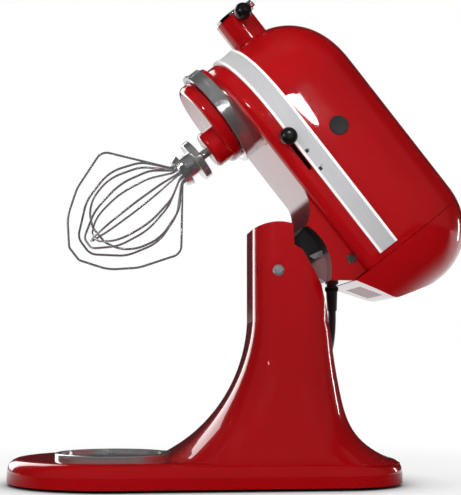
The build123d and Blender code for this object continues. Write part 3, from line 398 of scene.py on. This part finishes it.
def leadCurve(name, points, bevel):
    data = bpy.data.curves.new(name, "CURVE")
    data.dimensions = "3D"
    data.resolution_u = lead["resolution"]
    spline = data.splines.new("NURBS")
    spline.points.add(len(points) - 1)
    for target, place in zip(spline.points, points):
        target.co = (*[value * mm for value in place], 1)
    spline.order_u = 3
    spline.use_endpoint_u = True
    data.bevel_depth = bevel
    data.bevel_resolution = lead["bevelResolution"]
    data.use_fill_caps = bevel > 0
    return bpy.data.objects.new(name, data)


def curveMesh(curve):
    bpy.context.scene.collection.objects.link(curve)
    bpy.context.view_layer.update()
    made = bpy.data.meshes.new_from_object(curve.evaluated_get(bpy.context.evaluated_depsgraph_get()))
    bpy.data.objects.remove(curve)
    return made


steps = lead["stepsPerQuarter"]
coilRoute = [coilPoint(k / steps) for k in range(lead["last"] * steps + 1)]
lastX, lastY, lastZ = coilRoute[-1]
route = leadRoute + coilRoute + [(lastX - lead["straight"], lastY, lastZ)]
leadLine = [Vector(v.co) for v in curveMesh(leadCurve("leadLine", route, 0)).vertices]
mainsLead = bpy.data.objects.new("mainsLead", curveMesh(leadCurve("leadTube", route, lead["radius"] * mm)))
bpy.context.scene.collection.objects.link(mainsLead)
mainsLead.data.materials.clear()
mainsLead.data.materials.append(finishes["black_rubber"])
mainsLead.data.polygons.foreach_set("use_smooth", [True] * len(mainsLead.data.polygons))
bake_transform(mainsLead)
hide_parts("cord_drop", "cord_coil")

# Floor, lamps and surround: white to the camera, a grey room with a white sweep behind in reflections
studio = {"floor": (0.86, 0.86, 0.86), "floorReach": 6.0, "floorGlow": 0.7, "glowFrom": (0.22, 0.6),
          "contact": 0.05, "mirrorFrom": (-0.1, 0.2), "ambient": 0.2, "room": (0.12, 0.12, 0.12),
          "back": (0.012, 0.012, 0.013), "backFrom": (-0.2, 0.2), "sweepFrom": (0.1, 0.5),
          "sweepTop": (-0.03, 0.04)}
lamps = {
    "frontKey": {"place": (-0.9, -2.0, 1.3), "target": (0, 0, 0.2), "size": (1.4, 1.4), "power": 26,
                 "mirrored": False},
    "frontFill": {"place": (1.2, -1.9, 0.9), "target": (0, 0, 0.2), "size": (1.2, 1.2), "power": 10,
                  "mirrored": False},
    "overhead": {"place": (-0.2, 0.1, 1.7), "target": (0, 0, 0.2), "size": (1.2, 0.8), "power": 12,
                 "mirrored": False},
    "backFill": {"place": (0.5, 2.0, 1.2), "target": (0, 0, 0.2), "size": (1.2, 1.2), "power": 12,
                 "mirrored": False},
    "leftBank": {"place": (-0.77, 1.11, 0.75), "target": (0.02, 0, 0.6), "size": (0.6, 1.3), "power": 9,
                 "lights": False},
    "rightStrip": {"place": (1.3, 0.63, 0.25), "target": (0.08, 0, 0.12), "size": (0.05, 0.36), "power": 1.2},
    "cornerBank": {"place": (-1.25, -1.15, 0.55), "target": (-0.06, -0.03, 0.33), "size": (0.5, 0.16),
                   "power": 0.07, "spread": 12},
    "headStrip": {"place": (0.155, -1.185, 0.59), "target": (0.045, -0.07, 0.325), "size": (0.24, 0.022),
                  "power": 0.012, "roll": -49, "spread": 14, "shape": "ELLIPSE"},
}


def studioFloor():
    reach = studio["floorReach"]
    mesh = bpy.data.meshes.new("studioFloor")
    mesh.from_pydata([(x * reach, y * reach, 0) for x, y in squareCorners], [], [(0, 1, 2, 3)])
    floor = bpy.data.objects.new("studioFloor", mesh)
    bpy.context.scene.collection.objects.link(floor)
    material = bpy.data.materials.new("paleFloor")
    material.use_nodes = True
    tree = material.node_tree
    tree.nodes.clear()
    base = Wire(tree)
    place = base.make("ShaderNodeTexCoord", output="Object")
    depth = axis(base, place, "Y")
    far = base.make("ShaderNodeVectorMath", {"operation": "LENGTH"}, {0: place}, output="Value")
    seen = base.make("ShaderNodeLightPath", output="Is Camera Ray")
    mirrored = base.make("ShaderNodeLightPath", output="Is Glossy Ray")
    matt = base.make("ShaderNodeBsdfDiffuse", {}, {"Color": (*studio["floor"], 1)})
    # Painted contact shadow: the floor's glow for the camera is dimmed by ambient occlusion next to the base
    clear = base.make("ShaderNodeAmbientOcclusion", {}, {"Distance": studio["contact"]}, output="AO")
    shadowedGlow = base.make("ShaderNodeEmission", {}, {"Color": pureWhite, "Strength": clear * clear})
    behind = ramp(base, depth, *studio["mirrorFrom"])
    white = base.make("ShaderNodeEmission", {}, {"Color": pureWhite, "Strength": behind})
    share = studio["floorGlow"] + ramp(base, far, *studio["glowFrom"]) * (1 - studio["floorGlow"])
    lit = base.make("ShaderNodeMixShader", {}, {0: seen * share, 1: matt, 2: shadowedGlow})
    both = base.make("ShaderNodeMixShader", {}, {0: mirrored, 1: lit, 2: white})
    base.make("ShaderNodeOutputMaterial", {}, {"Surface": both})
    mesh.materials.append(material)


def softbox(name, place, target, size, power, roll=0.0, spread=180.0, shape="RECTANGLE",
            mirrored=True, lights=True):
    data = bpy.data.lights.new(name, "AREA")
    data.shape = shape
    data.size, data.size_y = size
    data.energy = power
    data.spread = math.radians(spread)
    lamp = bpy.data.objects.new(name, data)
    lamp.location = place
    lamp.rotation_mode = "QUATERNION"
    facing = (Vector(target) - Vector(place)).to_track_quat("-Z", "Y")
    lamp.rotation_quaternion = facing @ Quaternion((0, 0, 1), math.radians(roll))
    lamp.visible_glossy = mirrored
    lamp.visible_diffuse = lights
    bpy.context.scene.collection.objects.link(lamp)


def surround():
    world = bpy.data.worlds.new("studioSurround")
    bpy.context.scene.world = world
    world.use_nodes = True
    tree = world.node_tree
    tree.nodes.clear()
    base = Wire(tree)
    heading = base.make("ShaderNodeTexCoord", output="Generated")
    depth = axis(base, heading, "Y")
    height = axis(base, heading, "Z")
    sweep = ramp(base, depth, *studio["sweepFrom"]) * (1.0 - ramp(base, height, *studio["sweepTop"]))
    walls = twoTone(base, ramp(base, depth, *studio["backFrom"]), studio["room"], studio["back"])
    room = mixed(base, sweep, walls, pureWhite)
    white = base.make("ShaderNodeBackground", {}, {"Color": pureWhite, "Strength": 1.0})
    mirrored = base.make("ShaderNodeBackground", {}, {"Color": room, "Strength": 1.0})
    fill = base.make("ShaderNodeBackground", {}, {"Color": pureWhite, "Strength": studio["ambient"]})
    camera = base.make("ShaderNodeLightPath", output="Is Camera Ray")
    glossy = base.make("ShaderNodeLightPath", output="Is Glossy Ray")
    through = base.make("ShaderNodeLightPath", output="Is Transmission Ray")
    seenInGloss = base.maths("MAXIMUM", glossy, through)
    lit = base.make("ShaderNodeMixShader", {}, {0: seenInGloss, 1: fill, 2: mirrored})
    both = base.make("ShaderNodeMixShader", {}, {0: camera, 1: lit, 2: white})
    base.make("ShaderNodeOutputWorld", {}, {"Surface": both})


studioFloor()
surround()
for name, lamp in lamps.items():
    softbox(name, **lamp)
print("studio: lights ready")

view = {"place": (-0.1106, -1.1954, 0.110), "yaw": 5.0, "pitch": 4.6, "focalPixels": 1356.0,
        "height": 495, "sensor": 36.0}


def photoCamera():
    data = bpy.data.cameras.new("photoCamera")
    data.sensor_width = view["sensor"]
    data.lens = view["focalPixels"] * view["sensor"] / view["height"]
    data.dof.use_dof = False
    camera = bpy.data.objects.new("photoCamera", data)
    yaw, pitch = math.radians(view["yaw"]), math.radians(view["pitch"])
    ahead = Vector((math.sin(yaw) * math.cos(pitch), math.cos(yaw) * math.cos(pitch), math.sin(pitch)))
    camera.location = view["place"]
    camera.rotation_mode = "QUATERNION"
    camera.rotation_quaternion = ahead.to_track_quat("-Z", "Y")
    bpy.context.scene.collection.objects.link(camera)
    bpy.context.scene.camera = camera


photoCamera()
bpy.context.scene.view_settings.view_transform = "Standard"
